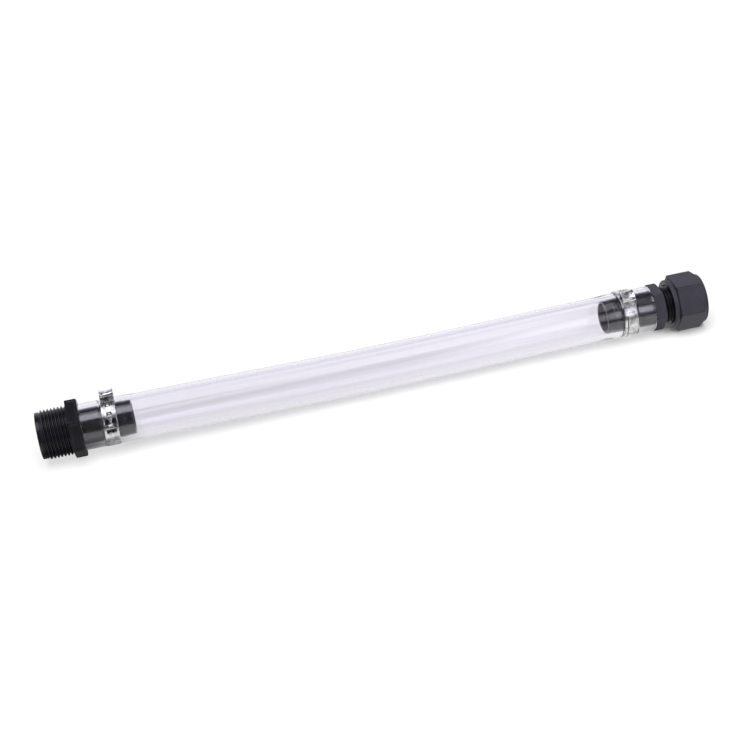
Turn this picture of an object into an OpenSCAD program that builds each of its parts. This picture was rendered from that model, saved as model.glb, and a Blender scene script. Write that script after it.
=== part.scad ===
// Clear condenser jacket: a straight transparent hose on two hose tails, each held by an ear clamp.
// The left fitting ends in a male pipe thread, the right one in a compression gland for an inner pipe.
// Millimetres. The hose axis is the X axis, and the origin is the centre of the left port's end face.

/* [Hose] */
// Outside diameter of the hose
hose_d = 24; // [22:0.5:28]
// Wall thickness of the hose
hose_wall = 2.5; // [2:0.1:2.6]
// Length of the hose
hose_len = 314.5; // [150:0.5:1000]

/* [Hose tails] */
// Length of each tail inside the hose
tail_len = 27; // [24:0.5:40]
// Play between a tail and the hose, on the radius
tail_play = 0.05; // [0.02:0.01:0.1]
// Length of the thinner nose at the end of each tail
tail_nose = 4.5; // [3:0.5:8]
// Bore through each tail
tail_bore_d = 15.4; // [14:0.1:16]

/* [Threaded adapter] */
// Outside diameter of the G 3/4 pipe thread
port_d = 26.44; // [26.2:0.01:26.5]
// Length of the plain ring ahead of the thread
lead_len = 1.9; // [1.5:0.1:4]
// Length of the thread
port_len = 14.5; // [10:0.1:20]
// Width of the hexagon along the axis
port_hex_w = 6.3; // [5:0.1:10]
// Width of the hexagon across its flats
port_hex_af = 28.2; // [27:0.1:32]
// Turn of the hexagon about the axis, from flat side down
port_hex_roll = 17; // [-30:1:30]
// Bore at the threaded end
port_bore_d = 18.6; // [17:0.1:19]

/* [Gland] */
// Outside diameter of the G 1/2 pipe thread
gland_d = 20.955; // [20.7:0.001:21]
// Width of the gland body's hexagon along the axis
gland_hex_w = 6.1; // [5:0.1:8]
// Width of the gland body's hexagon across its flats
gland_hex_af = 22.4; // [22:0.1:24]
// Length of the gland body's thread
gland_len = 14.4; // [13:0.1:16]
// Gap that shows between the hexagon and the nut
nut_gap = 4.2; // [4:0.1:5]
// Width of the nut across its flats
nut_af = 27.4; // [27:0.1:30]
// Length of the nut's round collar
nut_collar_w = 2.7; // [2:0.1:4]
// Length of the nut's hexagon
nut_hex_w = 14.7; // [13:0.1:16]
// Length of the nut's round rim
nut_rim_w = 1.8; // [1:0.1:3]
// Opening in the nut for the inner pipe
pipe_hole_d = 13.6; // [13.2:0.1:14]

/* [Ear clamps] */
// Width of the steel band
band_w = 7.5; // [7:0.1:9]
// Thickness of the steel band
band_t = 0.7; // [0.6:0.05:0.9]
// Distance from each hexagon to its clamp
clamp_offset = 10.7; // [8:0.1:12]
// Height of the ear above the band
ear_h = 4.4; // [4:0.1:6]
// Turn of the left clamp's ear about the axis, back from straight up
adapter_ear_turn = -15; // [-90:1:90]
// Turn of the right clamp's ear about the axis, forward from straight up
gland_ear_turn = 24; // [-90:1:90]

/* [Hidden] */
$fn = 96;

// Both threads have 14 turns to the inch
pitch = 25.4 / 14;
thread_depth = 0.640327 * pitch;
// Straight segments in one turn of a thread
thread_steps = 30;
// Radial play between the nut's thread and the body's
thread_play = 0.2;

hose_r = hose_d / 2;
hose_bore_r = hose_r - hose_wall;
tail_r = hose_bore_r - tail_play;
tail_nose_r = tail_r - 0.2;
tail_bore_r = tail_bore_d / 2;

port_root_r = port_d / 2 - thread_depth;
gland_root_r = gland_d / 2 - thread_depth;
lead_r = port_root_r + 0.4;

// Stations along the axis
port_hex_x = lead_len + port_len;
hose_x = port_hex_x + port_hex_w + 0.1;
hose_end_x = hose_x + hose_len;
adapter_end_x = hose_x + tail_len;
gland_mouth_x = hose_end_x - tail_len;
gland_hex_x = hose_end_x + 0.1;
gland_thread_x = gland_hex_x + gland_hex_w;
gland_end_x = gland_thread_x + gland_len;
nut_x = gland_thread_x + nut_gap;
nut_end_x = nut_x + nut_collar_w + nut_hex_w + nut_rim_w;

// Stack inside the nut
nut_wall = 3.4;
washer_t = 1.2;
stack_gap = 0.1;
washer_x = nut_end_x - nut_wall - stack_gap - washer_t;
seat_r = tail_bore_r + 1.2;
seat_depth = 1.2;
ring_r = 8.9;
ring_bore_r = 6.45;
washer_r = 9;
washer_bore_r = 6.6;
nut_bore_r = washer_r + 0.2;

lead_chamfer = 0.5;
// How far the hexagons' corners are turned down, and the nut's at its outer end
hex_drop = 0.9;
nut_end_drop = 2;
band_r = hose_r + 0.03 + band_t;
overlap_t = 0.55;
// How far the outer layer runs from the ear, in degrees, on the hook side and on the tongue side
hook_arc = 116;
tongue_arc = 36;
tongue_end_arc = 150;
// Where the outer layer meets the middle of the ear's neck
ear_arc = 6.5;
// How much narrower than the band the outer layer and the tongue are, on each side
layer_inset = 0.08;
tongue_inset = 1.5;
// Windows of the hook side: angle from the ear, width along the axis and length round the band
windows = [[33, 2.8, 1.9], [55, 2.8, 1.9], [85, 5.2, 5.6]];
hook_share = 0.45;

black = [0.09, 0.09, 0.10];
dark_grey = [0.22, 0.22, 0.24];
steel = [0.80, 0.80, 0.82];

// A cylinder along X
module rod(x, r, len) {
    translate([x, 0, 0]) rotate([0, 90, 0]) cylinder(r = r, h = len);
}

// A cone frustum along X
module taper(x, r_start, r_end, len) {
    translate([x, 0, 0]) rotate([0, 90, 0]) cylinder(r1 = r_start, r2 = r_end, h = len);
}

// A hexagonal bar along X with a flat side down when roll is 0
module hex_bar(x, across_flats, len, roll) {
    translate([x, 0, 0]) rotate([roll + 30, 0, 0]) rotate([0, 90, 0])
        cylinder(d = across_flats / cos(30), h = len, $fn = 6);
}

// A hexagonal bar whose corners are turned down to cones, by start_drop at x and by end_drop at x + len
module chamfered_hex(x, across_flats, len, roll, start_drop, end_drop) {
    corner_r = across_flats / 2 / cos(30);
    start_len = start_drop * 0.7;
    end_len = end_drop * 0.7;
    intersection() {
        hex_bar(x, across_flats, len, roll);
        union() {
            taper(x, corner_r - start_drop, corner_r, start_len);
            rod(x + start_len, corner_r + 0.1, len - start_len - end_len);
            taper(x + len - end_len, corner_r, corner_r - end_drop, end_len);
        }
    }
}

// Thread form: place along one pitch, and height above the root as a share of the depth
thread_form = [[0.00, 0], [0.20, 0], [0.48, 1], [0.72, 1]];

// A right-hand threaded bar along X. Its thread runs from x to x + len and thins to fade_r at both ends.
// Closing cones reach one pitch further at each end, and lie inside the pieces that the bar joins.
module threaded_bar(x, len, root_r, crest_r, fade_r) {
    rows = len(thread_form);
    last_row = thread_form[rows - 1][0];
    steps = ceil((len / pitch + 2 - last_row) * thread_steps);
    fade_len = pitch * 0.7;
    function fade(s) = max(0, min(1, (s - pitch) / fade_len, (len + pitch - s) / fade_len));
    function form_r(h) = root_r + (crest_r - root_r) * h;
    function point(i, j) = let (
        s = (i / thread_steps + thread_form[j][0]) * pitch,
        a = i * 360 / thread_steps,
        r = fade_r + (form_r(thread_form[j][1]) - fade_r) * fade(s)
    ) [x - pitch + s, r * cos(a), r * sin(a)];
    function at(i, j) = i * rows + j;
    start_tip = (steps + 1) * rows;
    end_tip = start_tip + 1;
    start_rim = concat(
        [for (i = [0:thread_steps]) at(i, 0)],
        [for (j = [rows - 1:-1:1]) at(0, j)]
    );
    end_rim = concat(
        [for (i = [steps - thread_steps:steps]) at(i, rows - 1)],
        [for (j = [rows - 2:-1:0]) at(steps, j)]
    );
    points = concat(
        [for (i = [0:steps]) for (j = [0:rows - 1]) point(i, j)],
        [[x - pitch, 0, 0], [x + len + pitch, 0, 0]]
    );
    quads = concat(
        [for (i = [0:steps - 1]) for (j = [0:rows - 2]) [at(i, j), at(i, j + 1), at(i + 1, j + 1), at(i + 1, j)]],
        [for (i = [0:steps - thread_steps - 1])
            [at(i, rows - 1), at(i + thread_steps, 0), at(i + thread_steps + 1, 0), at(i + 1, rows - 1)]]
    );
    sides = [for (q = quads) for (t = [[q[0], q[1], q[2]], [q[0], q[2], q[3]]]) t];
    start_cap = [for (k = [0:len(start_rim) - 1]) [start_tip, start_rim[k], start_rim[(k + 1) % len(start_rim)]]];
    end_cap = [for (k = [0:len(end_rim) - 1]) [end_tip, end_rim[(k + 1) % len(end_rim)], end_rim[k]]];
    polyhedron(points, concat(sides, start_cap, end_cap), convexity = 10);
}

// The clear hose
module clear_tube() {
    color("lavender", 0.4)
        difference() {
            rod(hose_x, hose_r, hose_len);
            rod(hose_x - 1, hose_bore_r, hose_len + 2);
        }
}

// Left fitting: lead ring, male thread, hexagon and hose tail in one moulding
module threaded_adapter() {
    cone_x = port_hex_x + 0.8;
    cone_len = (port_bore_d - tail_bore_d) / 2;
    color(black)
        difference() {
            union() {
                taper(0, lead_r - lead_chamfer, lead_r, lead_chamfer);
                rod(lead_chamfer, lead_r, lead_len - lead_chamfer);
                threaded_bar(lead_len, port_len, port_root_r, port_d / 2, lead_r - 0.4);
                chamfered_hex(port_hex_x, port_hex_af, port_hex_w, port_hex_roll, hex_drop / 2, hex_drop);
                rod(hose_x - 1, tail_r, tail_len + 1 - tail_nose);
                rod(adapter_end_x - tail_nose - 1, tail_nose_r, tail_nose + 1);
            }
            rod(-1, port_bore_d / 2, cone_x + 1);
            taper(cone_x, port_bore_d / 2, tail_bore_r, cone_len);
            rod(cone_x + cone_len, tail_bore_r, adapter_end_x - cone_x);
        }
}

// Right fitting: hose tail, hexagon, male thread and the seat for the packing ring
module gland_body() {
    pilot_r = gland_root_r - 0.3;
    pilot_len = pitch * 1.15;
    color(dark_grey)
        difference() {
            union() {
                rod(gland_mouth_x, tail_nose_r, tail_nose + 1);
                rod(gland_mouth_x + tail_nose, tail_r, tail_len - tail_nose + 1);
                chamfered_hex(gland_hex_x, gland_hex_af, gland_hex_w, 0, hex_drop / 2, hex_drop);
                threaded_bar(gland_thread_x, gland_len - pilot_len, gland_root_r, gland_d / 2, pilot_r - 0.3);
                rod(gland_end_x - pilot_len, pilot_r, pilot_len);
            }
            rod(gland_mouth_x - 1, tail_bore_r, gland_end_x - gland_mouth_x + 2);
            taper(gland_end_x - seat_depth, tail_bore_r, seat_r + 0.1, seat_depth + 0.1);
        }
}

// Rubber ring that the nut squeezes round the inner pipe. Its nose lies in the gland body's seat.
module packing_ring() {
    nose_x = gland_end_x - seat_depth + stack_gap;
    flange_x = gland_end_x + stack_gap;
    color("black")
        difference() {
            union() {
                taper(nose_x, tail_bore_r - 0.15, seat_r - 0.15, seat_depth);
                rod(flange_x, ring_r, washer_x - stack_gap - flange_x);
            }
            rod(nose_x - 1, ring_bore_r, washer_x - nose_x + 2);
        }
}

// Washer that lets the nut turn without twisting the rubber
module slip_washer() {
    color("ivory")
        difference() {
            rod(washer_x, washer_r, washer_t);
            rod(washer_x - 1, washer_bore_r, washer_t + 2);
        }
}

// Compression nut: round collar, hexagon, round rim, female thread and the pipe's opening
module gland_nut() {
    hex_x = nut_x + nut_collar_w;
    rim_x = nut_end_x - nut_rim_w;
    thread_x = gland_thread_x + floor(nut_gap / pitch - 1) * pitch;
    chamber_x = gland_end_x - 0.5;
    shoulder_x = nut_end_x - nut_wall;
    color(dark_grey)
        difference() {
            union() {
                rod(nut_x, nut_af / 2 - 0.1, nut_collar_w + 1);
                chamfered_hex(hex_x, nut_af, nut_hex_w, 0, hex_drop / 2, nut_end_drop);
                rod(rim_x - 1, nut_af / 2 - 0.3, nut_rim_w + 1);
            }
            threaded_bar(
                thread_x, chamber_x + 0.1 - thread_x, gland_root_r + thread_play, gland_d / 2 + thread_play,
                nut_bore_r - 0.03
            );
            rod(chamber_x, nut_bore_r, shoulder_x - chamber_x);
            rod(shoulder_x - 1, pipe_hole_d / 2, nut_wall + 2);
            taper(nut_end_x - 0.8, pipe_hole_d / 2, pipe_hole_d / 2 + 0.8, 0.81);
        }
}

// Part of the band's outer layer, from angle start to angle stop, measured from +Z towards +Y.
// It is narrower than the band by inset on each side.
module layer(r_in, r_out, inset, start, stop) {
    rotate([-start, 0, 0]) rotate([90, 0, 90]) rotate([0, 0, 90 - (stop - start)])
        rotate_extrude(angle = stop - start) translate([r_in, inset]) square([r_out - r_in, band_w - 2 * inset]);
}

// Cross-section of the ear: a mushroom-shaped loop, shrunk by inset
module ear_outline(inset) {
    crown_h = 2.6;
    crown_half = 1.9;
    neck_half = 1.8;
    crown_z = band_r + ear_h - crown_h / 2;
    for (side = [-1, 1]) translate([side * crown_half, crown_z]) circle(r = crown_h / 2 - inset);
    translate([-crown_half, crown_z - crown_h / 2 + inset]) square([2 * crown_half, crown_h - 2 * inset]);
    translate([inset - neck_half, band_r - 0.2]) square([2 * (neck_half - inset), crown_z - band_r]);
}

// One-piece ear clamp from x, ear turned from +Z towards -Y by turn. hooks is the side, 1 or -1, of its hooks.
module ear_clamp(x, turn, hooks) {
    color(steel)
        translate([x + (hooks < 0 ? band_w : 0), 0, 0]) rotate([turn, 0, 0]) rotate([0, 0, hooks < 0 ? 180 : 0]) {
            difference() {
                union() {
                    rotate([0, 90, 0]) cylinder(r = band_r, h = band_w);
                    layer(band_r - 0.1, band_r + overlap_t, layer_inset, ear_arc, hook_arc);
                    layer(band_r - 0.1, band_r + overlap_t, layer_inset, -tongue_arc, -ear_arc);
                    layer(band_r - 0.2, band_r + overlap_t * 0.5, tongue_inset, -tongue_end_arc, 1 - tongue_arc);
                    translate([2 * layer_inset, 0, 0]) rotate([90, 0, 90])
                        linear_extrude(band_w - 4 * layer_inset) ear_outline(0);
                }
                translate([-1, 0, 0]) rotate([0, 90, 0]) cylinder(r = hose_r + 0.03, h = band_w + 2);
                rotate([90, 0, 90]) translate([0, 0, -1]) linear_extrude(band_w + 2)
                    intersection() {
                        ear_outline(band_t);
                        translate([-5, band_r]) square([10, 10]);
                    }
                for (w = windows) rotate([-w[0], 0, 0])
                    translate([(band_w - w[1]) / 2, -w[2] / 2, band_r - 0.1]) cube([w[1], w[2], 2]);
            }
            for (w = windows) rotate([-w[0], 0, 0])
                translate([(band_w - w[1] * hook_share) / 2, -w[2] / 2 * hook_share, band_r - 0.3])
                    cube([w[1] * hook_share, w[2] * hook_share, 0.2 + overlap_t]);
        }
}

module adapter_ear_clamp() {
    ear_clamp(hose_x + clamp_offset, adapter_ear_turn, -1);
}

module gland_ear_clamp() {
    ear_clamp(hose_end_x - clamp_offset - band_w, gland_ear_turn, 1);
}

clear_tube();
threaded_adapter();
adapter_ear_clamp();
gland_body();
gland_ear_clamp();
packing_ring();
slip_washer();
gland_nut();
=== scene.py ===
"""Looks for the clear condenser jacket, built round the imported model.

Lengths are in millimetres until the meshes are made, which are in metres, in the model's own frame.
An angle round the axis runs from +Z towards -Y, the side that faces the camera.
"""
import math

import bmesh
import bpy
from mathutils import Matrix, Vector


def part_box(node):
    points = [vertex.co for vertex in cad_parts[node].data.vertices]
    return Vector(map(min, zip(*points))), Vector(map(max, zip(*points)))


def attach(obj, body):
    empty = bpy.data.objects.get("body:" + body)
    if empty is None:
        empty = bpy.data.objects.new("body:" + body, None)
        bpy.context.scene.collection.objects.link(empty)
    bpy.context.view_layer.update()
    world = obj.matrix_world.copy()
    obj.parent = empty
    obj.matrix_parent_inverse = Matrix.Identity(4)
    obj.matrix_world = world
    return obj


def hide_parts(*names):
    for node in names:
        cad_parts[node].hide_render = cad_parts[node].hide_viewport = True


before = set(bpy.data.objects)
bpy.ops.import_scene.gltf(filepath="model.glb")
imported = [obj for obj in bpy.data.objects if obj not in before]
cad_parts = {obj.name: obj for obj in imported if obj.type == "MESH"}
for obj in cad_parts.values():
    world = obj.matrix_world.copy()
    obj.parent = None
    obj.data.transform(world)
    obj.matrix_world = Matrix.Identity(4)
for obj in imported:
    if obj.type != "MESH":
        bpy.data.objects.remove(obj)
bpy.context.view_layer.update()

MM = 0.001
PITCH = 25.4 / 14
THREAD_DEPTH = 0.640327 * PITCH


def span(node):
    """Where a CAD node starts and ends along the axis."""
    low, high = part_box(node)
    return low[0] / MM, high[0] / MM


# Stations along the axis, from the model
HOSE_X, HOSE_END_X = span("clear_tube")
ADAPTER_END_X = span("threaded_adapter")[1]
GLAND_MOUTH_X, GLAND_END_X = span("gland_body")
NUT_X, NUT_END_X = span("gland_nut")
WASHER_X, WASHER_END_X = span("slip_washer")
RING_X, RING_END_X = span("packing_ring")

# Hose
HOSE_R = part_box("clear_tube")[1][2] / MM
HOSE_WALL = 2.5
BORE_R = HOSE_R - HOSE_WALL
HOSE_SAG = 1.4
HOSE_SWELL = 0.4
CLAMP_DIP = 0.06

# Hose tails, the same on both fittings
TAIL_R = BORE_R - 0.05
TAIL_NOSE_R = TAIL_R - 0.2
TAIL_NOSE = 4.5
TAIL_BORE_R = 7.7
TAIL_ROOT = 0.5

# Threaded adapter
LEAD_LEN = 1.9
PORT_CREST_R = 13.22
PORT_ROOT_R = PORT_CREST_R - THREAD_DEPTH
LEAD_R = PORT_ROOT_R + 0.4
PORT_BORE_R = 9.3
PORT_HEX_W = 6.3
PORT_HEX_X = HOSE_X - 0.1 - PORT_HEX_W
PORT_HEX_END_X = PORT_HEX_X + PORT_HEX_W
PORT_HEX_APOTHEM = 14.1
PORT_HEX_FILLET = 0.45
PORT_HEX_ROLL = 17
PANEL_DEPTH = 0.16
PANEL_BORDER = 1.0
PANEL_EDGE = 0.24

# Gland
GLAND_CREST_R = 20.955 / 2
GLAND_ROOT_R = GLAND_CREST_R - THREAD_DEPTH
GLAND_HEX_X = HOSE_END_X + 0.1
GLAND_HEX_W = 6.1
GLAND_HEX_APOTHEM = 11.2
GLAND_HEX_FILLET = 0.3
GLAND_THREAD_X = GLAND_HEX_X + GLAND_HEX_W
PILOT_X = GLAND_END_X - PITCH * 1.15
PILOT_R = GLAND_ROOT_R - 0.3
SEAT_R = TAIL_BORE_R + 1.2
NUT_APOTHEM = 13.7
NUT_FILLET = 0.4
NUT_HEX_X = NUT_X + 2.7
NUT_RIM_X = NUT_END_X - 1.8
NUT_SHOULDER_X = NUT_END_X - 3.4
NUT_PLAY = 0.2
CHAMBER_X = GLAND_END_X - 0.5
CHAMBER_R = 9.2
PIPE_HOLE_R = 6.8
PACKING_R = 8.9
PACKING_BORE_R = 6.45
WASHER_R = 9
WASHER_BORE_R = 6.6

# How the hexagons' corners are turned down at their ends: by how much, and the length of that cone for each
# millimetre of its drop
HEX_START_DROP = 0.45
HEX_END_DROP = 0.9
NUT_END_DROP = 2
CONE_RUN = 0.7

# Thread form, in pitches: the flat root, each flank, and the length over which a thread thins out
THREAD_ROOT = 0.2
THREAD_FLANK = 0.28
THREAD_FADE = 0.7

# Ear clamps. Angles are in degrees from the ear towards the hooks. A place across the band is from -1 to 1.
BAND_IN_R = HOSE_R + 0.03
BAND_T = 0.7
BAND_R = BAND_IN_R + BAND_T
LAYER_T = 0.5
LAYER_GAP = 0.03
LAYER_SHARE = 0.98
OVERLAP = (-36, 116)
SLOT = (206, 314)
SLOT_SIDES = (-0.62, -0.5)
# Windows as (middle, half width, half length), and hooks as (middle, half width, rise)
WINDOWS = [(34, 0.38, 4.3), (57, 0.38, 4.3), (75, 0.8, 7.5), (97, 0.7, 5.0)]
HOOKS = [(34, 0.2, 0.45), (57, 0.2, 0.45), (84, 0.3, 0.75)]
STRAP_MIDDLE = 75
STRAP_HALF = 8
TONGUE = (-150, -37.5)
TONGUE_HEAD = -46
TONGUE_SIDES = (-0.5, 0.42)
ARC_STEP = 3
CURVE_STEPS = 4
# Mid-line of half the ear, from its root on the band to the middle of its crown: along the band, and up
EAR_HALF = [
    (3.4, 0.0), (2.5, 0.1), (1.6, 0.42), (1.0, 1.05), (1.15, 1.65), (2.1, 1.95), (2.95, 2.45), (2.85, 3.2),
    (2.1, 3.65), (1.0, 3.75), (0, 3.78),
]

# Table: the white that the camera sees, and how far its shadows are filled in
TABLE_WHITE = 1.06
TABLE_FILL = 0.5
FILL_UNDER_NUT = 0.08
FILL_LEFT = 0.14
FLOOR_HALF = 3000
FLOOR_GAP = 0.02
# Glow of the table in reflections and through the hose, across the axis: place in millimetres, and strength.
# Its dips and rises are painted shadow and light bands.
GLOW = [
    (-20, 0.87), (0, 0.87), (8, 0.89), (11.5, 0.81), (13.5, 0.86), (17, 0.96), (19.5, 0.94), (22, 0.86),
    (25, 0.85), (28, 0.94), (30.5, 1.05), (33, 0.88), (36, 0.81), (46, 0.81), (52, 0.85), (60, 0.99),
    (68, 1.08), (85, 1.12), (120, 1.0),
]

# Patches of the studio that surfaces reflect: where each starts, is full, begins to fade and ends, in
# degrees round the axis and then in the X of the direction
OVERHEAD = (-15, -7, 22, 32), (-0.9, -0.7, 0.2, 0.32)
LAMP = (40, 50, 68, 80), (0.298, 0.302, 0.31, 0.314)
PANEL = (30, 56, 64, 92), (0.14, 0.24, 0.4, 0.5)
WALL = (-190, -185, -70, -35), (-3, -2, 2, 3)
ROOM_ENDS = 0.6
STUDIO_TINT = (0.99, 0.965, 1.06, 1)


# ---------------------------------------------------------------- mesh building

def add_object(name, data):
    """A new object in the scene."""
    made = bpy.data.objects.new(name, data)
    bpy.context.scene.collection.objects.link(made)
    return made


def mesh_object(name, bm, materials):
    """An object in metres from bm, which is in millimetres."""
    bmesh.ops.scale(bm, vec=(MM, MM, MM), verts=bm.verts)
    mesh = bpy.data.meshes.new(name)
    bm.to_mesh(mesh)
    bm.free()
    for material in materials:
        mesh.materials.append(material)
    return add_object(name, mesh)


def finish_piece(name, bm, materials, body, node, bevel=0.0):
    """Turns bm into a smooth piece that rides on body and stands for node."""
    bmesh.ops.recalc_face_normals(bm, faces=bm.faces)
    piece = mesh_object(name, bm, materials)
    for face in piece.data.polygons:
        face.use_smooth = True
    if bevel:
        edges = piece.modifiers.new("soft_edges", "BEVEL")
        edges.width = bevel * MM
        edges.segments = 2
        edges.limit_method = "ANGLE"
        edges.angle_limit = math.radians(40)
    normals = piece.modifiers.new("flat_normals", "WEIGHTED_NORMAL")
    normals.mode = "FACE_AREA"
    normals.weight = 100
    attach(piece, body)
    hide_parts(node)


def even_angles(count):
    return [2 * math.pi * i / count for i in range(count)]


def turned(angles, rings):
    """A closed shell through rings round the axis, the last of which joins the first. A ring is (x, radius,
    material). Its radius, and the material of the strip after it, may be functions of the angle."""
    bm = bmesh.new()
    rows = []
    for x, radius, _ in rings:
        row = []
        for a in angles:
            r = radius(a) if callable(radius) else radius
            row.append(bm.verts.new((x, -r * math.sin(a), r * math.cos(a))))
        rows.append(row)
    count = len(angles)
    for i, (_, _, material) in enumerate(rings):
        row, after = rows[i], rows[(i + 1) % len(rings)]
        for k in range(count):
            m = (k + 1) % count
            face = bm.faces.new((row[k], row[m], after[m], after[k]))
            face.material_index = material(angles[k]) if callable(material) else material
    return bm


def rounded(corners, steps=4):
    """Rings along a line of corners (x, radius, fillet, material), each rounded by its fillet."""
    rings = []
    for i, (x, r, fillet, material) in enumerate(corners):
        if not fillet or i in (0, len(corners) - 1):
            rings.append((x, r, material))
            continue
        here = Vector((x, r))
        before, after = Vector(corners[i - 1][:2]), Vector(corners[i + 1][:2])
        start = here + (before - here).normalized() * min(fillet, (before - here).length * 0.49)
        end = here + (after - here).normalized() * min(fillet, (after - here).length * 0.49)
        for j in range(steps + 1):
            t = j / steps
            p = start * (1 - t) ** 2 + here * 2 * t * (1 - t) + end * t ** 2
            rings.append((p.x, p.y, material))
    return rings


def off_flat(degrees, roll):
    """The angle from the middle of a hexagon's nearest flat, in radians."""
    return math.radians(abs((degrees - roll + 30) % 60 - 30))


def hex_radius(a, apothem, fillet, roll):
    """Radius at angle a of a hexagon with rounded corners and one flat roll degrees from the top."""
    off = off_flat(math.degrees(a), roll)
    centre = (apothem - fillet) / math.cos(math.pi / 6)
    if apothem * math.tan(off) <= centre * 0.5:
        return apothem / math.cos(off)
    d = math.pi / 6 - off
    return centre * math.cos(d) + math.sqrt(max(fillet ** 2 - (centre * math.sin(d)) ** 2, 0))


def hex_angles(apothem, fillet, roll, flat_steps=16, corner_steps=6, border=0.0):
    """Angles round a hexagon, close together at its corners and on both sides of a panel's edge."""
    edge = math.atan((apothem - fillet) / apothem * math.tan(math.pi / 6))
    side = [edge * (2 * i / flat_steps - 1) for i in range(flat_steps + 1)]
    if border:
        panel = math.tan(edge) * apothem - border
        for t in (panel, panel - PANEL_EDGE / 2, panel - PANEL_EDGE):
            side += [math.atan(t / apothem), -math.atan(t / apothem)]
    corner = [edge + (math.pi / 3 - 2 * edge) * i / corner_steps for i in range(1, corner_steps)]
    offsets = sorted(set(round(v, 6) for v in side + corner))
    return [math.radians(roll) + k * math.pi / 3 + v for k in range(6) for v in offsets]


def hex_stations(x, end_x, start_drop, end_drop, bevel, panel):
    """Stations along a hexagon, which are close together where its ends are shaped."""
    step = PANEL_EDGE / 2

    def zone(drop):
        reach = max(bevel, drop * CONE_RUN, PANEL_BORDER + PANEL_EDGE if panel else 0)
        places = [i * bevel / 5 for i in range(5)]
        return places + [bevel + i * step for i in range(int((reach - bevel) / step) + 2)]

    return [x + s for s in zone(start_drop)] + [end_x - s for s in reversed(zone(end_drop))]


def hex_rings(x, end_x, apothem, fillet, roll, start_drop, end_drop, flat, edge, bevel=0.25, panel=0.0):
    """Rings of a hexagon from x to end_x, with rounded corners and ends, and with its corners turned down to
    a cone at both ends. panel is the depth of a shallow field inside each flat. flat and edge are the
    materials of the flats and of the rounded corners and ends; on the gland and the nut, edge is a
    near-black that paints those corners and ends in painted shade."""
    corner_r = apothem / math.cos(math.pi / 6)

    def inset(s):
        """How far the outline lies in from the full hexagon at distance s from an end."""
        return bevel - math.sqrt(max(bevel ** 2 - (bevel - s) ** 2, 0)) if s < bevel else 0

    def radius_at(here):
        near, far = here - x, end_x - here
        cone = min(corner_r - start_drop + near / CONE_RUN, corner_r - end_drop + far / CONE_RUN)
        rounding = inset(min(near, far))
        sunk = panel * min(max((min(near, far) - PANEL_BORDER) / PANEL_EDGE, 0), 1)
        half = apothem * math.tan(math.pi / 6) - fillet * 0.6 - PANEL_BORDER

        def radius(a):
            r = hex_radius(a, apothem - rounding, fillet, roll)
            if sunk:
                across = apothem * math.tan(off_flat(math.degrees(a), roll))
                r -= sunk * min(max((half - across) / PANEL_EDGE, 0), 1)
            return min(r, cone - rounding * 0.5)
        return radius

    def material_at(here):
        near, far = here - x, end_x - here

        def material(a):
            across = apothem * math.tan(off_flat(math.degrees(a) + 0.5, roll))
            corner = across > (apothem - fillet) * math.tan(math.pi / 6)
            return edge if corner or min(near, far) < bevel * 0.7 else flat
        return material

    stations = hex_stations(x, end_x, start_drop, end_drop, bevel, panel)
    return [(s, radius_at(s), material_at(s)) for s in stations]


def thread_height(u):
    """Height of the rounded thread at place u along one pitch, from 0 at the root to 1 at the crest. It is
    the mean of seven places, which rounds its corners."""
    total = 0
    for i in range(-3, 4):
        v = (u + i * 0.025) % 1
        total += max(0, min(1, (v - THREAD_ROOT) / THREAD_FLANK, (1 - v) / THREAD_FLANK))
    return total / 7


def thread_radius(x, a, start, length, root_r, crest_r, fade_r):
    """Radius of a right-hand thread from start, which thins to fade_r at both ends."""
    u = (x - start) / PITCH - (math.degrees(a) + 90) / 360
    thinning = PITCH * THREAD_FADE
    full = max(0, min(1, (x - start) / thinning, (start + length - x) / thinning))
    return fade_r + (root_r + (crest_r - root_r) * thread_height(u) - fade_r) * full


def thread_rings(x, end_x, start, length, root_r, crest_r, fade_r, material, step=0.1):
    """Rings between x and end_x of a thread that runs for length from start."""
    count = max(2, round(abs(end_x - x) / step))
    stations = [x + (end_x - x) * i / count for i in range(count + 1)]
    return [
        (s, lambda a, s=s: thread_radius(s, a, start, length, root_r, crest_r, fade_r), material)
        for s in stations
    ]


# ---------------------------------------------------------------- materials

def new_material(name):
    """A material with its nodes and its Principled shader."""
    material = bpy.data.materials.new(name)
    material.use_nodes = True
    tree = material.node_tree
    return material, tree, tree.nodes["Principled BSDF"]


def maths(tree, operation, *values):
    """The output of a Math node over numbers and sockets."""
    node = tree.nodes.new("ShaderNodeMath")
    node.operation = operation
    for i, value in enumerate(values):
        if isinstance(value, (int, float)):
            node.inputs[i].default_value = value
        else:
            tree.links.new(value, node.inputs[i])
    return node.outputs[0]


def product(tree, first, *rest):
    """The product of numbers and sockets."""
    for value in rest:
        first = maths(tree, "MULTIPLY", first, value)
    return first


def fade(tree, value, low, high, start, end):
    """A smooth change from start, where value is low, to end, where it is high."""
    node = tree.nodes.new("ShaderNodeMapRange")
    node.interpolation_type = "SMOOTHSTEP"
    tree.links.new(value, node.inputs["Value"])
    for name, v in (("From Min", low), ("From Max", high), ("To Min", start), ("To Max", end)):
        node.inputs[name].default_value = v
    return node.outputs["Result"]


def object_noise(tree, scale, stretch=(1, 1, 1), detail=3.0):
    """Noise in the object's own space, stretched along its axes. scale is in cells a metre."""
    place = tree.nodes.new("ShaderNodeTexCoord")
    mapping = tree.nodes.new("ShaderNodeMapping")
    mapping.inputs["Scale"].default_value = stretch
    noise = tree.nodes.new("ShaderNodeTexNoise")
    noise.inputs["Scale"].default_value = scale
    noise.inputs["Detail"].default_value = detail
    tree.links.new(place.outputs["Object"], mapping.inputs["Vector"])
    tree.links.new(mapping.outputs["Vector"], noise.inputs["Vector"])
    return noise.outputs["Fac"]


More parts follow.
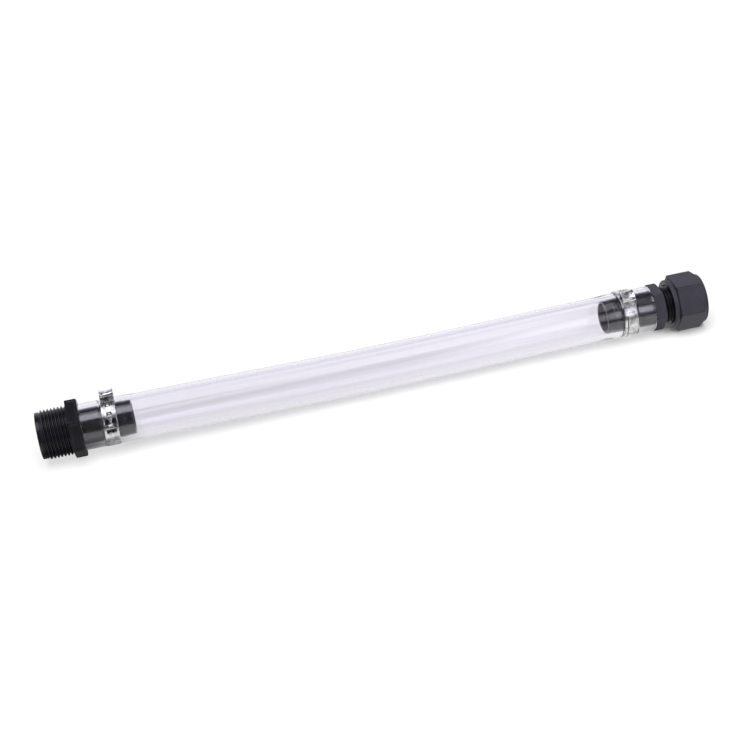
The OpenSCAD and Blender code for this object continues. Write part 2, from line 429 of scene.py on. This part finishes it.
def ramp(tree, value, stops):
    """A colour ramp over value. stops are (position, colour or grey)."""
    node = tree.nodes.new("ShaderNodeValToRGB")
    marks = node.color_ramp.elements
    marks[0].position, marks[1].position = stops[0][0], stops[-1][0]
    inner = [marks.new(position) for position, _ in stops[1:-1]]
    for mark, (_, colour) in zip([marks[0], *inner, marks[-1]], stops):
        mark.color = (*colour, 1) if isinstance(colour, tuple) else (colour, colour, colour, 1)
    tree.links.new(value, node.inputs["Fac"])
    return node.outputs["Color"]


def bump(tree, shader, height, strength, distance):
    node = tree.nodes.new("ShaderNodeBump")
    node.inputs["Strength"].default_value = strength
    node.inputs["Distance"].default_value = distance
    tree.links.new(height, node.inputs["Height"])
    tree.links.new(node.outputs["Normal"], shader.inputs["Normal"])


def split_by_ray(tree, ray, seen, others):
    """Sets the material's surface to the shader seen for one kind of ray, and to others for the rest."""
    path = tree.nodes.new("ShaderNodeLightPath")
    mix = tree.nodes.new("ShaderNodeMixShader")
    tree.links.new(path.outputs[ray], mix.inputs["Fac"])
    tree.links.new(others, mix.inputs[1])
    tree.links.new(seen, mix.inputs[2])
    tree.links.new(mix.outputs["Shader"], tree.nodes["Material Output"].inputs["Surface"])


def moulded_plastic(name, dark, light, rough, grain_scale, grain_depth, specular=0.5):
    """Black or grey moulding: a fine grain in its colour and surface, and slow changes in its gloss."""
    material, tree, shader = new_material(name)
    slow = object_noise(tree, 160, detail=4)
    grain = object_noise(tree, grain_scale, detail=2)
    mixed = maths(tree, "ADD", product(tree, slow, 0.4), product(tree, grain, 0.6))
    tree.links.new(ramp(tree, mixed, [(0.38, dark), (0.62, light)]), shader.inputs["Base Color"])
    tree.links.new(ramp(tree, slow, [(0.25, rough[0]), (0.75, rough[1])]), shader.inputs["Roughness"])
    shader.inputs["Specular IOR Level"].default_value = specular
    bump(tree, shader, grain, 1.0, grain_depth)
    return material


def make_hose_material():
    """Clear PVC with a lavender cast and faint lines along the extrusion. Its shadow is thin."""
    material, tree, shader = new_material("clear_pvc")
    shader.inputs["Transmission Weight"].default_value = 0.993
    shader.inputs["IOR"].default_value = 1.5
    lines = object_noise(tree, 900, stretch=(0.02, 1, 1), detail=2)
    tint = ramp(tree, lines, [(0.35, (0.945, 0.93, 0.985)), (0.65, (0.965, 0.952, 1.0))])
    tree.links.new(tint, shader.inputs["Base Color"])
    tree.links.new(ramp(tree, lines, [(0.3, 0.01), (0.7, 0.03)]), shader.inputs["Roughness"])
    lamp_side = tree.nodes.new("ShaderNodeBsdfTransparent")
    lamp_side.inputs["Color"].default_value = (0.45, 0.45, 0.45, 1)
    split_by_ray(tree, "Is Shadow Ray", lamp_side.outputs["BSDF"], shader.outputs["BSDF"])
    return material


def make_steel():
    """Bright rolled strip with fine lines round the band and a few dull patches."""
    material, tree, shader = new_material("clamp_steel")
    shader.inputs["Metallic"].default_value = 1.0
    grain = object_noise(tree, 5000, stretch=(1, 0.08, 0.08), detail=3)
    patches = object_noise(tree, 350, detail=3)
    tree.links.new(ramp(tree, patches, [(0.36, 0.4), (0.6, 0.85)]), shader.inputs["Base Color"])
    tree.links.new(ramp(tree, grain, [(0.3, 0.2), (0.7, 0.3)]), shader.inputs["Roughness"])
    bump(tree, shader, grain, 0.35, 0.00002)
    return material


black_plastic = moulded_plastic(
    "black_plastic", (0.0055, 0.0052, 0.0075), (0.009, 0.0086, 0.0122), (0.2, 0.3), 2500, 0.00002,
    specular=0.4
)
grey_plastic = moulded_plastic(
    "grey_plastic", (0.023, 0.022, 0.0295), (0.039, 0.037, 0.051), (0.52, 0.64), 2600, 0.00008
)
tail_plastic = moulded_plastic(
    "tail_plastic", (0.004, 0.0038, 0.0056), (0.007, 0.0067, 0.0097), (0.12, 0.2), 2500, 0.00001,
    specular=0.75
)
# Near-black for the grey mouldings' rounded corners and ends, the nut's groove, the threads and the bores:
# painted dark edges and painted shade, not the grey plastic's own colour.
painted_shade_black = moulded_plastic(
    "painted_shade_black", (0.003, 0.003, 0.004), (0.005, 0.0048, 0.0064), (0.3, 0.4), 1500, 0.00001
)
rubber = moulded_plastic(
    "packing_rubber", (0.012, 0.012, 0.012), (0.02, 0.02, 0.02), (0.6, 0.8), 2500, 0.00003
)
washer_plastic = moulded_plastic(
    "washer_plastic", (0.62, 0.6, 0.52), (0.68, 0.66, 0.58), (0.4, 0.5), 1500, 0.00001
)
hose_plastic = make_hose_material()
steel = make_steel()


# ---------------------------------------------------------------- fittings

def make_adapter():
    """Left fitting: lead ring, male thread, hexagon with sunk panels and hose tail."""
    angles = hex_angles(PORT_HEX_APOTHEM, PORT_HEX_FILLET, PORT_HEX_ROLL, border=PANEL_BORDER)
    cone_x = PORT_HEX_X + 0.8
    cone_end_x = cone_x + (PORT_BORE_R - TAIL_BORE_R)
    nose_x = ADAPTER_END_X - TAIL_NOSE
    moulding, tail = 0, 1
    rings = rounded([
        (cone_end_x, TAIL_BORE_R, 0, moulding), (cone_x, PORT_BORE_R, 0, moulding),
        (0, PORT_BORE_R, 0.3, moulding), (0, LEAD_R, 0.45, moulding), (LEAD_LEN, LEAD_R, 0.15, moulding),
        (LEAD_LEN + 0.02, PORT_ROOT_R + 0.05, 0, moulding),
    ])
    rings += thread_rings(
        LEAD_LEN + 0.05, PORT_HEX_X - 0.05, LEAD_LEN, PORT_HEX_X - LEAD_LEN,
        PORT_ROOT_R, PORT_CREST_R, PORT_ROOT_R, moulding
    )
    rings += hex_rings(
        PORT_HEX_X, PORT_HEX_END_X, PORT_HEX_APOTHEM, PORT_HEX_FILLET, PORT_HEX_ROLL,
        HEX_START_DROP, HEX_END_DROP, moulding, moulding, panel=PANEL_DEPTH
    )
    rings += rounded([
        (PORT_HEX_END_X, TAIL_R + TAIL_ROOT, 0, moulding), (PORT_HEX_END_X, TAIL_R, 0, tail),
        (nose_x, TAIL_R, 0.15, tail), (nose_x + 0.25, TAIL_NOSE_R, 0.15, tail),
        (ADAPTER_END_X, TAIL_NOSE_R, 0.5, tail), (ADAPTER_END_X, TAIL_BORE_R, 0.3, tail),
        (cone_end_x + 1, TAIL_BORE_R, 0, tail),
    ])
    finish_piece(
        "threaded_adapter_body", turned(angles, rings), [black_plastic, tail_plastic],
        "jacket", "threaded_adapter"
    )


def make_gland_body():
    """Right fitting: hose tail, hexagon and the thread that the nut runs on."""
    angles = hex_angles(GLAND_HEX_APOTHEM, GLAND_HEX_FILLET, 0)
    # edge is the painted-shade black: it paints the hexagon's corners and ends, the thread, the pilot and
    # the seat dark.
    moulding, edge, tail = 0, 1, 2
    rings = rounded([
        (GLAND_END_X - 3, TAIL_BORE_R, 0, tail), (GLAND_MOUTH_X, TAIL_BORE_R, 0.35, tail),
        (GLAND_MOUTH_X, TAIL_NOSE_R, 0.5, tail), (GLAND_MOUTH_X + TAIL_NOSE - 0.25, TAIL_NOSE_R, 0.15, tail),
        (GLAND_MOUTH_X + TAIL_NOSE, TAIL_R, 0.15, tail), (GLAND_HEX_X, TAIL_R, 0, moulding),
        (GLAND_HEX_X, TAIL_R + TAIL_ROOT, 0, moulding),
    ])
    rings += hex_rings(
        GLAND_HEX_X, GLAND_THREAD_X, GLAND_HEX_APOTHEM, GLAND_HEX_FILLET, 0,
        HEX_START_DROP, HEX_END_DROP, moulding, edge
    )
    rings += thread_rings(
        GLAND_THREAD_X + 0.05, PILOT_X, GLAND_THREAD_X, PILOT_X - GLAND_THREAD_X,
        GLAND_ROOT_R, GLAND_CREST_R, PILOT_R, edge
    )
    rings += rounded([
        (PILOT_X + 0.05, PILOT_R, 0, edge), (GLAND_END_X, PILOT_R, 0.1, edge),
        (GLAND_END_X, SEAT_R, 0.1, edge), (GLAND_END_X - 1.2, TAIL_BORE_R, 0, edge),
    ])
    finish_piece(
        "gland_body_moulding", turned(angles, rings), [grey_plastic, painted_shade_black, tail_plastic],
        "jacket", "gland_body"
    )


def make_gland_nut():
    """Compression nut: round collar, hexagon, round rim, female thread and the pipe's opening."""
    angles = hex_angles(NUT_APOTHEM, NUT_FILLET, 0)
    collar_r = NUT_APOTHEM - 0.15
    groove_r = collar_r - 0.25
    rim_r = NUT_APOTHEM - 0.3
    mouth_r = GLAND_CREST_R + NUT_PLAY
    thread_x = GLAND_THREAD_X + PITCH
    # edge is the painted-shade black: it paints the thread, the mouth, the groove beside the collar, the
    # hexagon's corners and ends, the rounded rim and the inside dark.
    moulding, edge = 0, 1
    rings = thread_rings(
        CHAMBER_X - 0.05, NUT_X + 0.8, thread_x, CHAMBER_X - thread_x,
        GLAND_ROOT_R + NUT_PLAY, mouth_r, CHAMBER_R - 0.03, edge
    )
    rings += rounded([
        (NUT_X + 0.7, mouth_r, 0, edge), (NUT_X, mouth_r + 0.6, 0.2, edge), (NUT_X, collar_r, 0.5, moulding),
        (NUT_HEX_X - 0.3, collar_r, 0.1, edge), (NUT_HEX_X - 0.25, groove_r, 0.1, edge),
        (NUT_HEX_X, groove_r, 0, moulding),
    ])
    rings += hex_rings(
        NUT_HEX_X, NUT_RIM_X, NUT_APOTHEM, NUT_FILLET, 0,
        HEX_START_DROP, NUT_END_DROP, moulding, edge, bevel=0.35
    )
    rings += rounded([
        (NUT_RIM_X, rim_r, 0, moulding), (NUT_END_X - 0.35, rim_r, 0.25, edge),
        (NUT_END_X, rim_r - 0.4, 0.3, edge), (NUT_END_X, PIPE_HOLE_R + 0.8, 0.2, moulding),
        (NUT_END_X - 0.8, PIPE_HOLE_R, 0.2, edge),
        (NUT_SHOULDER_X, PIPE_HOLE_R, 0.1, edge), (NUT_SHOULDER_X, CHAMBER_R, 0.1, edge),
        (CHAMBER_X, CHAMBER_R, 0, edge),
    ])
    finish_piece(
        "gland_nut_moulding", turned(angles, rings), [grey_plastic, painted_shade_black],
        "nut", "gland_nut"
    )


def make_packing():
    """Rubber ring with a tapered nose, and the slip washer beside it."""
    angles = even_angles(128)
    flange_x = GLAND_END_X + 0.1
    ring = rounded([
        (RING_END_X - 1, PACKING_BORE_R, 0, 0), (RING_X, PACKING_BORE_R, 0.15, 0),
        (RING_X, TAIL_BORE_R - 0.15, 0.15, 0), (flange_x, SEAT_R - 0.15, 0.05, 0),
        (flange_x, PACKING_R, 0.3, 0), (RING_END_X, PACKING_R, 0.3, 0),
        (RING_END_X, PACKING_BORE_R, 0.15, 0), (RING_END_X - 0.5, PACKING_BORE_R, 0, 0),
    ])
    finish_piece(
        "packing_ring_rubber", turned(angles, ring), [rubber], "jacket", "packing_ring"
    )
    disc = rounded([
        (WASHER_X + 0.6, WASHER_BORE_R, 0, 0), (WASHER_X, WASHER_BORE_R, 0.1, 0),
        (WASHER_X, WASHER_R, 0.15, 0), (WASHER_END_X, WASHER_R, 0.15, 0),
        (WASHER_END_X, WASHER_BORE_R, 0.1, 0), (WASHER_X + 0.7, WASHER_BORE_R, 0, 0),
    ])
    finish_piece(
        "slip_washer_disc", turned(angles, disc), [washer_plastic], "washer", "slip_washer"
    )


# ---------------------------------------------------------------- hose

def smooth_step(value, start, end):
    t = min(max((value - start) / (end - start), 0), 1)
    return t * t * (3 - 2 * t)


def hose_sag(x):
    """How far the hose hangs below its straight line between the two tails."""
    middle = (ADAPTER_END_X + GLAND_MOUTH_X) / 2
    half = (GLAND_MOUTH_X - ADAPTER_END_X) / 2
    t = min(abs(x - middle) / half, 1)
    return HOSE_SAG * (1 - t * t) ** 2


def hose_swell(x, bands):
    """How much the hose bulges over the tails, less its dip under the clamps."""
    swell = 0
    for tail, open_end in ((ADAPTER_END_X, HOSE_X), (GLAND_MOUTH_X, HOSE_END_X)):
        side = 1 if tail > open_end else -1
        swell += HOSE_SWELL * (1 - smooth_step((x - tail) * side, -6, 5))
    for low, high in bands:
        middle, half = (low + high) / 2, (high - low) / 2
        free = smooth_step(abs(x - middle), half, half + 0.5)
        swell = swell * free - CLAMP_DIP * (1 - free)
    return swell


def hose_stations():
    """Stations along the hose, which are close together over the tails."""
    stations = []
    x = HOSE_X + 0.35
    while x < HOSE_END_X - 0.35:
        stations.append(x)
        over_tail = x < ADAPTER_END_X + 6 or x > GLAND_MOUTH_X - 6
        x += 0.35 if over_tail else 4.0
    return stations


def make_hose():
    """Clear hose: it swells over the tails, is squeezed by the clamps and sags a little in the middle."""
    bands = [span("adapter_ear_clamp"), span("gland_ear_clamp")]
    stations = hose_stations()
    outer = [(s, HOSE_R + hose_swell(s, bands), 0) for s in stations]
    inner = [(s, BORE_R, 0) for s in reversed(stations[1:-1])]
    start_r, end_r = HOSE_R + hose_swell(HOSE_X, bands), HOSE_R + hose_swell(HOSE_END_X, bands)
    start_edge = rounded([
        (HOSE_X + 0.4, BORE_R, 0, 0), (HOSE_X, BORE_R, 0.15, 0), (HOSE_X, start_r, 0.25, 0),
        (HOSE_X + 0.3, start_r, 0, 0),
    ])
    end_edge = rounded([
        (HOSE_END_X - 0.3, end_r, 0, 0), (HOSE_END_X, end_r, 0.25, 0), (HOSE_END_X, BORE_R, 0.15, 0),
        (HOSE_END_X - 0.4, BORE_R, 0, 0),
    ])
    bm = turned(even_angles(384), start_edge + outer + end_edge + inner)
    for vert in bm.verts:
        vert.co.z -= hose_sag(vert.co.x)
    finish_piece("clear_hose", bm, [hose_plastic], "jacket", "clear_tube")


# ---------------------------------------------------------------- ear clamps

def sheet(bm, rows, lengths, widths, thickness, keep=None):
    """A sheet through rows of places, one row for each length and one place for each width, without the
    cells that keep(length, width) refuses, and thickened outwards. With a length more than rows, the sheet
    closes into a ring."""
    grid = [[bm.verts.new(place) for place in row] for row in rows]
    faces = []
    for i in range(len(lengths) - 1):
        row, after = grid[i], grid[(i + 1) % len(grid)]
        for j in range(len(widths) - 1):
            cell = (lengths[i] + lengths[i + 1]) / 2, (widths[j] + widths[j + 1]) / 2
            if keep is None or keep(*cell):
                faces.append(bm.faces.new((row[j], after[j], after[j + 1], row[j + 1])))
    bmesh.ops.delete(bm, geom=[v for row in grid for v in row if not v.link_faces], context="VERTS")
    bmesh.ops.recalc_face_normals(bm, faces=faces)
    outward = faces[0].calc_center_median()
    outward.x = 0
    if faces[0].normal.dot(outward) < 0:
        bmesh.ops.reverse_faces(bm, faces=faces)
    bmesh.ops.solidify(bm, geom=faces, thickness=-thickness)


def with_breaks(start, end, step, breaks=()):
    """Evenly spaced values from start to end that also include the breaks."""
    count = max(1, round((end - start) / step))
    values = [start + (end - start) * i / count for i in range(count + 1)]
    values = [v for v in values if all(abs(v - b) > step * 0.3 for b in breaks)]
    return sorted(values + [b for b in breaks if start <= b <= end])


def smooth_line(points):
    """A Catmull-Rom curve through the points."""
    line = []
    for i in range(len(points) - 1):
        a = Vector(points[max(i - 1, 0)])
        b, c = Vector(points[i]), Vector(points[i + 1])
        d = Vector(points[min(i + 2, len(points) - 1)])
        for j in range(CURVE_STEPS):
            t = j / CURVE_STEPS
            line.append(0.5 * (
                2 * b + (c - a) * t + (2 * a - 5 * b + 4 * c - d) * t * t + (3 * b - a - 3 * c + d) * t ** 3
            ))
    line.append(Vector(points[-1]))
    return line


def inner_layer(bm, at, solid, breaks, widths):
    """The layer that goes all round the hose."""
    turns = with_breaks(0, 360, ARC_STEP, breaks)
    rows = [[at(BAND_IN_R, math.radians(s), w) for w in widths] for s in turns[:-1]]
    sheet(bm, rows, turns, widths, BAND_T - 0.02, solid)


def ear_shape(along, up, w):
    """Where a place on the ear's mid-line, along the band and up from it, goes at w across the band. The
    crown is a ridged saddle, and the neck is pleated."""
    crown = smooth_step(up, 1.6, 3.2)
    saddle = 0.6 * w * w - 0.25
    ridges = 0.07 * math.sin(2 * math.pi * (abs(w) * 1.6 - along * 0.35))
    pleats = 0.12 * math.sin(up * 7) * (1 - crown) * smooth_step(up, 0.3, 0.9)
    side = 1 if along > 0 else -1
    return along + side * (crown * 0.25 * (w * w - 0.3) + pleats), up + crown * (saddle + ridges)


def outer_layer(bm, at, solid, breaks, widths):
    """The overlapping end of the strip: a step, the ear, and the windows for the hooks."""
    layer_r = BAND_R + LAYER_GAP
    root = math.degrees(EAR_HALF[0][0] / BAND_R)
    before = with_breaks(OVERLAP[0], -root, ARC_STEP)[:-1]
    after = with_breaks(root, OVERLAP[1], ARC_STEP, breaks)[1:]
    half_line = smooth_line(EAR_HALF)
    ear_line = [(-p.x, p.y) for p in half_line] + [(p.x, p.y) for p in reversed(half_line[:-1])]

    def arc_row(s):
        return [at(layer_r, math.radians(s), w, LAYER_SHARE) for w in widths]

    def ear_row(along, up):
        row = []
        for w in widths:
            shifted, lifted = ear_shape(along, up, w)
            turn = math.asin(max(-1, min(1, shifted / (BAND_R + lifted))))
            row.append(at(layer_r + lifted, turn, w, LAYER_SHARE))
        return row

    rows = [arc_row(s) for s in before] + [ear_row(*p) for p in ear_line] + [arc_row(s) for s in after]
    sheet(bm, rows, before + [0] * len(ear_line) + after, widths, LAYER_T, solid)


def add_hooks(bm, at):
    """Small bent tabs that stand in the windows."""
    across = [-1, -0.5, 0, 0.5, 1]
    for middle, width, rise in HOOKS:
        tab = [(-2.6, -0.35), (-1.0, rise * 0.7), (0.6, rise), (2.2, rise * 0.55), (2.8, -0.1)]
        line = smooth_line(tab)
        rows = []
        for p in line:
            turn = math.radians(middle + p.x * 1.1)
            rows.append([at(BAND_R - 0.1 + p.y, turn, w * width) for w in across])
        sheet(bm, rows, range(len(line)), across, 0.35)


def add_strap(bm, at):
    """A waisted strap that crosses the larger window."""
    turns = with_breaks(STRAP_MIDDLE - STRAP_HALF, STRAP_MIDDLE + STRAP_HALF, 1.6)
    across = [-1, -0.4, 0.4, 1]
    rows = []
    for s in turns:
        off = s - STRAP_MIDDLE
        r = BAND_R - 0.25 + 0.3 * math.cos(math.radians(off * 8))
        waist = 0.14 + 0.0045 * off ** 2
        rows.append([at(r, math.radians(s), w * waist) for w in across])
    sheet(bm, rows, turns, across, 0.4)


def add_tongue(bm, at, hooks):
    """A tongue along the band, whose head is beside the step."""
    turns = with_breaks(*TONGUE, ARC_STEP, [TONGUE_HEAD])
    across = with_breaks(-1, 1, 0.16, [-0.5, -0.42, 0.42, 0.5])
    rows = [[at(BAND_R - 0.02, math.radians(s), w, LAYER_SHARE) for w in across] for s in turns]

    def in_tongue(s, w):
        return s > TONGUE_HEAD or TONGUE_SIDES[0] < w * -hooks < TONGUE_SIDES[1]

    sheet(bm, rows, turns, across, 0.28, in_tongue)


def make_clamp(name, node, ear_angle, hooks, lean):
    """One-piece ear clamp. ear_angle is where its ear stands, and hooks is the way, 1 or -1, from the ear
    to the hooks. lean is how far its top leans along the hose for each millimetre."""
    x, end_x = span(node)
    middle, half = (x + end_x) / 2, (end_x - x) / 2

    def at(r, turn, w, share=1.0):
        """A place r from the axis, turn radians from the ear, and w across a share of the width."""
        a = math.radians(ear_angle) + turn * hooks
        return (middle + w * half * share, -r * math.sin(a), r * math.cos(a))

    def solid(s, w):
        """Whether there is steel here, and not the slot or a window."""
        if SLOT[0] < s < SLOT[1] and SLOT_SIDES[0] < w * -hooks < SLOT_SIDES[1]:
            return False
        return not any(abs(s - centre) < length and abs(w) < width for centre, width, length in WINDOWS)

    window_ends = {v for centre, _, length in WINDOWS for v in (centre - length, centre + length)}
    breaks = sorted(window_ends | set(SLOT))
    widths = with_breaks(-1, 1, 0.16, [-0.8, -0.7, -0.62, -0.5, -0.38, 0.38, 0.5, 0.62, 0.7, 0.8])
    bm = bmesh.new()
    inner_layer(bm, at, solid, breaks, widths)
    outer_layer(bm, at, solid, breaks, widths)
    add_hooks(bm, at)
    add_strap(bm, at)
    add_tongue(bm, at, hooks)
    for vert in bm.verts:
        vert.co.x += lean * (vert.co.z + 10)
    finish_piece(name, bm, [steel], "jacket", node, bevel=0.07)


# ---------------------------------------------------------------- stage, light and camera

def light_table(tree, shader, x):
    """Gives the table its white, and fills in its shadows with a glow of its own, weakly under the nut."""
    most = fade(tree, x, (NUT_X - 12) * MM, NUT_X * MM, TABLE_FILL, FILL_UNDER_NUT)
    left = fade(tree, x, PORT_HEX_X * MM, (ADAPTER_END_X + 20) * MM, FILL_LEFT, 0)
    filled = maths(tree, "ADD", most, left)
    white = fade(tree, object_noise(tree, 40, detail=2), 0.3, 0.7, 0.81, 0.83)
    tree.links.new(product(tree, white, maths(tree, "SUBTRACT", 1, filled)), shader.inputs["Base Color"])
    tree.links.new(filled, shader.inputs["Emission Strength"])
    shader.inputs["Emission Color"].default_value = (TABLE_WHITE, TABLE_WHITE, TABLE_WHITE, 1)
    shader.inputs["Roughness"].default_value = 0.9
    shader.inputs["Specular IOR Level"].default_value = 0.0


def table_glow(tree, x, y):
    """How bright reflections and the view through the hose see the table. It ends near the object, carries
    painted shadow and light bands across the axis, has painted shade under the fittings, and grows a little
    brighter towards the gland."""
    front = fade(tree, y, -0.24, -0.05, 0.08, 1)
    ends = product(tree, fade(tree, x, -0.12, -0.03, 0.1, 1), fade(tree, x, 0.4, 0.5, 1, 0.1))
    low, high = GLOW[0][0], GLOW[-1][0]
    across = tree.nodes.new("ShaderNodeMapRange")
    across.inputs["From Min"].default_value = low * MM
    across.inputs["From Max"].default_value = high * MM
    tree.links.new(y, across.inputs["Value"])
    # Painted shadow and light bands across the axis, which show through the hose.
    painted_bands = ramp(tree, across.outputs["Result"], [((at - low) / (high - low), v) for at, v in GLOW])
    # Painted shade: the glow is dimmed under the adapter's hexagon and under the gland's tail and hexagon.
    under = product(tree, fade(tree, y, -0.03, -0.012, 0, 1), fade(tree, y, 0.008, 0.02, 1, 0))
    left = fade(tree, x, PORT_HEX_END_X * MM, (ADAPTER_END_X + 8) * MM, 0.85, 0)
    right = product(
        tree, fade(tree, x, (GLAND_MOUTH_X + 10) * MM, GLAND_HEX_X * MM, 0, 0.5),
        fade(tree, x, (GLAND_HEX_X + 1) * MM, (NUT_X + 4) * MM, 1, 0)
    )
    shade = product(tree, under, maths(tree, "ADD", left, right))
    along = fade(tree, x, ADAPTER_END_X * MM, GLAND_MOUTH_X * MM, 0.95, 1.03)
    return product(tree, painted_bands, maths(tree, "SUBTRACT", 1, shade), along, front, ends)


def make_table_material():
    """A white table that the camera sees lit by the lamps, and that everything else sees as a glow with
    painted shadow and light bands and painted shade under the fittings.
    """
    material, tree, shader = new_material("white_table")
    place = tree.nodes.new("ShaderNodeTexCoord")
    parts = tree.nodes.new("ShaderNodeSeparateXYZ")
    tree.links.new(place.outputs["Object"], parts.inputs[0])
    x, y = parts.outputs["X"], parts.outputs["Y"]
    light_table(tree, shader, x)
    glow = tree.nodes.new("ShaderNodeEmission")
    tree.links.new(table_glow(tree, x, y), glow.inputs["Strength"])
    split_by_ray(tree, "Is Camera Ray", shader.outputs["BSDF"], glow.outputs["Emission"])
    material.cycles.emission_sampling = "NONE"
    return material


def make_floor():
    """The table, under the nut's flat and the adapter's lowest corner."""
    low_x, high_x = PORT_HEX_END_X, NUT_RIM_X - 1
    corner = hex_radius(math.radians(30), PORT_HEX_APOTHEM, PORT_HEX_FILLET, 0)
    low_z = -corner * math.cos(math.radians(30 - PORT_HEX_ROLL)) - FLOOR_GAP
    high_z = -NUT_APOTHEM - FLOOR_GAP
    slope = (high_z - low_z) / (high_x - low_x)
    corners = [(-1, -1), (1, -1), (1, 1), (-1, 1)]
    bm = bmesh.new()
    verts = []
    for side_x, side_y in corners:
        x, y = side_x * FLOOR_HALF, side_y * FLOOR_HALF
        verts.append(bm.verts.new((x, y, high_z + (x - high_x) * slope)))
    bm.faces.new(verts)
    mesh_object("floor", bm, [make_table_material()])


def make_sun(tilt, spread, strength):
    """A round softbox overhead, tilted towards the camera side, that only diffuse surfaces see."""
    data = bpy.data.lights.new("overhead", "SUN")
    data.angle = math.radians(spread)
    data.energy = strength
    sun = add_object("overhead", data)
    travel = Vector((0, math.sin(math.radians(tilt)), -math.cos(math.radians(tilt))))
    sun.rotation_mode = "QUATERNION"
    sun.rotation_quaternion = travel.to_track_quat("-Z", "Y")
    sun.visible_glossy = False
    sun.visible_transmission = False


def studio_patch(tree, phi, x, patch, strength):
    """A soft-edged patch of the studio."""
    turns, reach = patch
    return product(
        tree, fade(tree, phi, *turns[:2], 0, 1), fade(tree, phi, *turns[2:], 1, 0),
        fade(tree, x, *reach[:2], 0, 1), fade(tree, x, *reach[2:], 1, 0), strength
    )


def studio_light(tree, overhead, lamp, panel, wall, room):
    """How bright the studio is in each direction."""
    place = tree.nodes.new("ShaderNodeTexCoord")
    parts = tree.nodes.new("ShaderNodeSeparateXYZ")
    tree.links.new(place.outputs["Generated"], parts.inputs[0])
    turn = maths(tree, "ARCTAN2", product(tree, parts.outputs["Y"], -1), parts.outputs["Z"])
    phi = product(tree, turn, 180 / math.pi)
    x = parts.outputs["X"]
    front_lamps = maths(
        tree, "MAXIMUM", studio_patch(tree, phi, x, LAMP, lamp), studio_patch(tree, phi, x, PANEL, panel)
    )
    above = maths(tree, "ADD", studio_patch(tree, phi, x, OVERHEAD, overhead), front_lamps)
    around = fade(tree, maths(tree, "ABSOLUTE", x), 0.42, 0.6, room, ROOM_ENDS)
    return maths(tree, "ADD", maths(tree, "ADD", above, studio_patch(tree, phi, x, WALL, wall)), around)


def make_world(ambient, overhead, lamp, panel, wall, room):
    """White behind everything, a dim fill for diffuse surfaces, and a studio to reflect: a long softbox
    overhead, a panel with a small lamp in front on the right, a back wall, and a dark room."""
    world = bpy.data.worlds.new("studio")
    bpy.context.scene.world = world
    world.use_nodes = True
    world.cycles.sampling_method = "NONE"
    tree = world.node_tree
    tree.nodes.clear()
    path = tree.nodes.new("ShaderNodeLightPath")
    camera_ray, diffuse_ray = path.outputs["Is Camera Ray"], path.outputs["Is Diffuse Ray"]
    other = maths(tree, "SUBTRACT", maths(tree, "SUBTRACT", 1, camera_ray), diffuse_ray)
    reflected = product(tree, other, studio_light(tree, overhead, lamp, panel, wall, room))
    plain = maths(tree, "ADD", product(tree, diffuse_ray, ambient), product(tree, camera_ray, TABLE_WHITE))
    both = tree.nodes.new("ShaderNodeAddShader")
    for i, (strength, colour) in enumerate(((reflected, STUDIO_TINT), (plain, (1, 1, 1, 1)))):
        background = tree.nodes.new("ShaderNodeBackground")
        background.inputs["Color"].default_value = colour
        tree.links.new(strength, background.inputs["Strength"])
        tree.links.new(background.outputs[0], both.inputs[i])
    output = tree.nodes.new("ShaderNodeOutputWorld")
    tree.links.new(both.outputs[0], output.inputs["Surface"])


def make_camera(aim, azimuth, elevation, distance, roll, lens):
    """A camera that looks at aim from an azimuth (0 looks along +Y) and elevation, and is turned by roll."""
    data = bpy.data.cameras.new("camera")
    data.lens = lens
    data.sensor_width = 36.0
    camera = add_object("camera", data)
    a, e = math.radians(azimuth), math.radians(elevation)
    back = Vector((math.sin(a) * math.cos(e), -math.cos(a) * math.cos(e), math.sin(e)))
    towards = (-back).to_track_quat("-Z", "Y").to_matrix().to_4x4()
    turn = towards @ Matrix.Rotation(math.radians(roll), 4, "Z")
    camera.matrix_world = Matrix.Translation(Vector(aim) + back * distance) @ turn
    bpy.context.scene.camera = camera


make_camera(
    aim=(0.1806, 0, -0.00576), azimuth=-8.97, elevation=31.1, distance=0.83486, roll=-7.23, lens=74.12
)
make_hose()
make_adapter()
make_gland_body()
make_gland_nut()
make_packing()
make_clamp("adapter_clamp_strip", "adapter_ear_clamp", ear_angle=-15, hooks=1, lean=0.045)
make_clamp("gland_clamp_strip", "gland_ear_clamp", ear_angle=24, hooks=-1, lean=-0.01)
make_floor()
make_sun(tilt=20, spread=54, strength=3.85)
make_world(ambient=0.12, overhead=2.2, lamp=3.0, panel=1.8, wall=0.85, room=0.05)
bpy.context.scene.view_settings.view_transform = "Standard"
